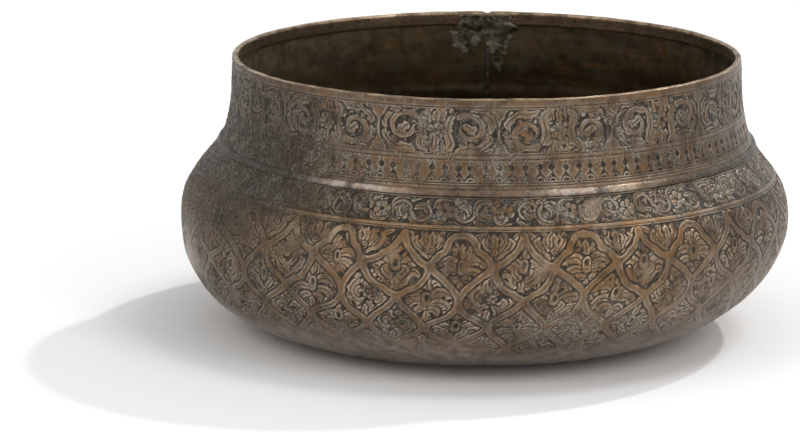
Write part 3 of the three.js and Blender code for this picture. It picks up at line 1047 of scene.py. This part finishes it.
def neck_piece():
    gap = math.degrees(seam_width / 2 / rim_radius)
    shell = Shell(np.linspace(BACK + gap, BACK + 360 - gap, fine_columns + 1), False)
    rows = stack(lip_round, joint_at - solder_gap, fine_step, turned_lines)
    field = Field(shell.angles, rows, False)
    panel_work(field)
    lappet_work(field)
    depth, marks = outer_depths(field)
    shell.outer_face(field, depth, marks, upwards=True)
    wobble = lip_wobble(shell.angles)
    for turn in (0.45, 0.9):
        share = turn / 1.6
        across = lip_round * (1 - math.cos(turn)) + depth[0] * (1 - share)
        shell.course(1, lip_round, across, lip_round * math.sin(turn) + wobble * share, slot=1)
    for across, rise in ((0.45, 1.0), (0.8, 1.0), (1.1, 0.94), (hoop_depth - 0.02, 0.75)):
        shell.course(inner_every, lip_round, across, lip_round * rise + wobble[::inner_every], slot=1)
    few = shell.angles[::inner_every]
    joggle_at = joint_at - joggle_length
    inner = [(at, neck_sheet - 0.08 * waves(few, at, 16, 20)) for at in np.linspace(1.2, joggle_at, 12)]
    for share in (0.25, 0.5, 0.75):
        deep = neck_sheet + (skirt_depth - neck_sheet) * smooth(share, 0, 1)
        inner.append((joint_at - joggle_length * (1 - share), deep))
    inner += [(at, skirt_depth) for at in np.linspace(joint_at, joint_at + skirt_length, 4)]
    for at, deep in inner:
        shell.course(inner_every, at, deep, marks=inner_marks(few), slot=2)
    for at in np.linspace(joint_at + skirt_length, joint_at - solder_gap, 5):
        shell.course(inner_every, at, lap_depth, slot=2)
    shell.close()
    return shell.build("neck", wall_metals, True)


def belly_piece():
    shell = ring(fine_columns)
    ornate = stack(joint_at, lattice[1], fine_step, turned_lines)
    plain = stack(lattice[1], foot_at, coarse_step)
    field = Field(shell.angles, np.concatenate([ornate, plain[1:]]), True)
    scroll_work(field)
    lattice_work(field)
    depth, marks = outer_depths(field)
    dent = 0.9 * field.spot(*dent_patch)
    depth = depth * smooth(foot_at - field.distances, 0, 12)[:, None] + dent
    for every, radius in ((32, 8.0), (16, 30.0)):
        shell.row(every, radius, bowl_sheet, slot=2)
    few = shell.angles[::inner_every]
    for at in np.linspace(foot_at, joint_at, 34):
        settled = float(smooth(foot_at - at, 0, 10))
        deep = bowl_sheet - 0.12 * waves(few, at, 17, 24) * settled
        shell.course(inner_every, at, deep, marks=inner_marks(few), slot=2)
    shell.outer_face(field, depth, marks)
    for share, every in ((0.75, 16), (0.5, 16), (0.25, 32)):
        shell.row(every, foot_radius * share, 0.0)
    shell.cap()
    return shell.build("belly", wall_metals)


def ridge_piece():
    shell = ring(ridge_columns)
    angles = shell.angles
    uneven = 0.06 * waves(angles, 0.0, 21, 14)
    left = 1 - smooth(away(angles, 207), 16, 34)
    right = smooth(away(angles, 270), 32, 50)
    # Stains, and painted shade on the right of the ridge
    ridge_stains_and_shade = np.maximum(0.9 * right, 0.8 * smooth(waves(angles, 0.0, 24, 18), 0.8, 1.8))
    # Two lengths in front get a painted highlight, mottled like rubbed metal
    painted_highlight = np.exp(-((away(angles, 239) / 12) ** 2)) + np.exp(-((away(angles, 292) / 9) ** 2))
    for turn in np.linspace(0, math.pi, 13):
        at = joint_at - (ridge_half + uneven * 0.5) * math.cos(turn)
        proud = (ridge_proud + uneven + ridge_sunk) * math.sin(turn) ** 0.8 - ridge_sunk
        crest = math.sin(turn) ** 2
        rubbing_and_sheen = painted_highlight * np.clip(0.75 + 0.7 * waves(angles, at, 29, 2.5, 30), 0, 1.5)
        # edge and wear hold the painted highlight, dirt holds stains and painted shade, and shade holds
        # painted shade
        marks = plain_marks(
            len(angles),
            top=1 - 0.5 * left,
            edge=np.clip(rubbing_and_sheen * (1.4 - crest), 0, 1),
            wear=np.clip(1.3 * crest * rubbing_and_sheen, 0, 1),
            dirt=np.clip(left + ridge_stains_and_shade, 0, 1),
            shade=np.clip(0.6 + 0.7 * right + 0.6 * left - 1.2 * painted_highlight, 0, 1),
        )
        shell.course(1, at, -proud, marks=marks, outer=True, share=turn / math.pi)
    for share in (0.66, 0.33):
        shell.course(2, joint_at - ridge_half * (1 - 2 * share), ridge_root)
    shell.close()
    return shell.build("ridge", [outer_metal])


def hoop_piece():
    shell = ring(coarse_columns)
    inner = hoop_depth + hoop_sheet
    for across, rise in ((0.02, -0.4), (0.14, -0.06), (0.3, 0.0), (0.48, -0.12)):
        radius, _ = wall(lip_round, hoop_depth + across)
        top = float(wall(lip_round)[1]) + lip_round
        shell.row(1, radius, top + rise + lip_wobble(shell.angles))
    for at in np.linspace(0.9, hoop_width - 0.25, 8):
        shell.course(1, at, inner - 0.06 * waves(shell.angles, at, 23, 12))
    for share, depth in ((1, inner - 0.2), (1, hoop_depth), (0.5, hoop_depth)):
        shell.course(1, hoop_width * share, depth)
    shell.close()
    return shell.build("hoop", [lip_metal], True)


def fillet_piece():
    shell = ring(coarse_columns)
    foot = joint_at + skirt_length + solder_gap
    leg = fillet_leg * (1 + 0.25 * waves(shell.angles, 0.0, 31, 15))
    hollow = [(share, skirt_depth - neck_sheet * (share + 0.12)) for share in (0.3, 0.6)]
    for share, depth in ((0, lap_depth), (0, skirt_depth), *hollow, (1, lap_depth)):
        shell.course(1, foot + leg * share, depth)
    shell.close()
    return shell.build("solder_fillet", [grey_solder], True)


def seam_strip():
    """Solder in the seam, level with the wall on both sides."""
    half = math.degrees(seam_width / 2 / rim_radius)
    shell = Shell(np.linspace(BACK - half, BACK + half, 13), False)
    for at in np.linspace(joint_at - solder_gap, lip_round + 0.3, 60):
        shell.course(1, at, 0.04 + 0.1 * waves(shell.angles, at, 41, 3))
    for at in np.linspace(lip_round + 0.4, joint_at - joggle_length, 20):
        shell.course(1, at, neck_sheet)
    outline = [(0, skirt_depth), (skirt_length, skirt_depth), (skirt_length, lap_depth), (0, lap_depth)]
    for below, depth in outline:
        shell.course(1, joint_at + below, depth)
    shell.close()
    return shell


def patch_cover(x, at):
    """1 where solder was run over the inner face round the seam, and 0 where it was not."""
    ragged = 0.16 * waves(np.degrees(x / rim_radius), at, 42, 5)
    wedge = 1 - np.abs(x - 4) / (9.5 * np.clip(1 - at / 25, 0, 1) + 0.5)
    blob = 1 - np.hypot(x + 8, (at - 10) * 0.9) / 6.5
    middle = np.minimum(1.2 - np.abs(x + 1.5) / 11, (11 - at) / 5)
    return smooth(np.maximum.reduce([wedge, blob, middle]) + ragged, 0, 0.4)


def seam_patch():
    """A ragged sheet of solder over the hoop and the inner face, sunk in where it ends."""
    shell = Shell(np.linspace(BACK - patch_spread, BACK + patch_spread, 73), False)
    x = -np.radians(shell.angles - BACK) * rim_radius
    sunk = 0.7 * neck_sheet
    for at in np.linspace(patch_from, patch_to, 64):
        over_hoop = 1 - smooth(at, hoop_width - 0.4, hoop_width + 2.5)
        face = neck_sheet + (hoop_depth + hoop_sheet - neck_sheet) * over_hoop + 0.35
        bumps = 0.1 * waves(shell.angles, at, 43, 4)
        shell.course(1, at, sunk + (face + bumps - sunk) * patch_cover(x, at), slot=1)
    for at in np.linspace(patch_to, patch_from, 12):
        shell.course(1, at, 0.45 * neck_sheet, slot=1)
    shell.close()
    return shell


def seam_piece():
    shell = seam_strip()
    shell.add(seam_patch())
    return shell.build("seam_solder", [brown_solder, grey_solder], True)


pieces = [
    (neck_piece(), "neck_ring"),
    (belly_piece(), "lower_bowl"),
    (ridge_piece(), "shoulder_ridge"),
    (hoop_piece(), "rim_hoop"),
    (fillet_piece(), "shoulder_solder"),
    (seam_piece(), "neck_seam_solder"),
]
for piece, node in pieces:
    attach(piece, "root")
    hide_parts(node)


# Floor, light and camera, in metres
floor_side = 6.0
lamp_target = (0, 0, 0.05)
sun_distance, box_distance = 2.0, 1.4


def floor_piece():
    mesh = bpy.data.meshes.new("floor")
    corners = [(x * floor_side, y * floor_side, 0) for x, y in ((-1, -1), (1, -1), (1, 1), (-1, 1))]
    mesh.from_pydata(corners, [], [(0, 1, 2, 3)])
    n = Nodes(bpy.data.materials.new("floor_white"))
    matt = {"Base Color": (0.97, 0.97, 0.97), "Roughness": 1.0, "Specular IOR Level": 0.0}
    n.fill(n.tree.nodes["Principled BSDF"], matt)
    mesh.materials.append(n.owner)
    piece = placed("floor", mesh)


def lamp(name, kind, azimuth, elevation, distance, **values):
    """A lamp that looks at its target from a distance."""
    data = bpy.data.lights.new(name, kind)
    for key, value in values.items():
        setattr(data, key, value)
    a, e = math.radians(azimuth), math.radians(elevation)
    way = np.array([math.cos(e) * math.cos(a), math.cos(e) * math.sin(a), math.sin(e)])
    item = placed(name, data)
    item.location = np.array(lamp_target) + way * distance
    item.rotation_euler = (math.pi / 2 - e, 0, a + math.pi / 2)


def sun(name, azimuth, elevation, share, angle):
    """A lamp that gives a share of the floor's full white."""
    energy = share * math.pi / math.sin(math.radians(elevation))
    lamp(name, "SUN", azimuth, elevation, sun_distance, energy=energy, angle=math.radians(angle))


def softbox(name, azimuth, elevation, side, radiance):
    """A square lamp of even brightness, where 1 is the floor's white."""
    form = {"shape": "SQUARE", "size": side, "energy": radiance * math.pi * side * side}
    lamp(name, "AREA", azimuth, elevation, box_distance, **form)


def world_light(diffuse):
    """White where it is seen or mirrored, and weaker as light on what isn't shiny."""
    world = bpy.data.worlds.new("studio")
    bpy.context.scene.world = world
    n = Nodes(world)
    path = n.add("ShaderNodeLightPath", {}).outputs
    seen = n.math("MAXIMUM", path["Is Camera Ray"], path["Is Glossy Ray"])
    seen = n.math("MAXIMUM", seen, path["Is Transmission Ray"])
    strength = n.span(seen, 0, 1, diffuse, 1)
    n.fill(n.tree.nodes["Background"], {"Color": (1, 1, 1), "Strength": strength})


def camera():
    """The photograph's view: 1.4 m off, 12 degrees up, turned a little to the left."""
    focal_pixels, picture_width = 3856.092, 800
    distance, rise, above_floor = 1400.0, math.radians(12.024), 50.0
    yaw, pitch, roll = (math.radians(value) for value in (-1.259, -12.579, 0.954))
    level_way = np.array([math.sin(yaw), math.cos(yaw), 0])
    forward = level_way * math.cos(pitch) + np.array([0, 0, math.sin(pitch)])
    level = np.array([math.cos(yaw), -math.sin(yaw), 0])
    above = np.cross(level, forward)
    data = bpy.data.cameras.new("camera")
    data.sensor_fit = "HORIZONTAL"
    data.sensor_width = 36.0
    data.lens = focal_pixels / picture_width * data.sensor_width
    data.clip_end = 20.0
    eye = placed("camera", data)
    right = math.cos(roll) * level + math.sin(roll) * above
    up = math.cos(roll) * above - math.sin(roll) * level
    place = np.array([0, -distance * math.cos(rise), distance * math.sin(rise) + above_floor]) * MM
    matrix = np.eye(4)
    matrix[:3] = np.stack([right, up, -forward, place], 1)
    eye.matrix_world = Matrix(matrix.tolist())
    bpy.context.scene.camera = eye


floor_piece()
sun("back_right_lamp", 44, 46, 0.21, 2.5)
sun("right_lamp", 5, 66, 0.15, 16)
softbox("front_left_box", -138, 36, 0.5, 2.0)
softbox("front_right_box", -42, 36, 0.62, 2.5)
world_light(0.66)
camera()

bpy.context.scene.view_settings.view_transform = "Standard"
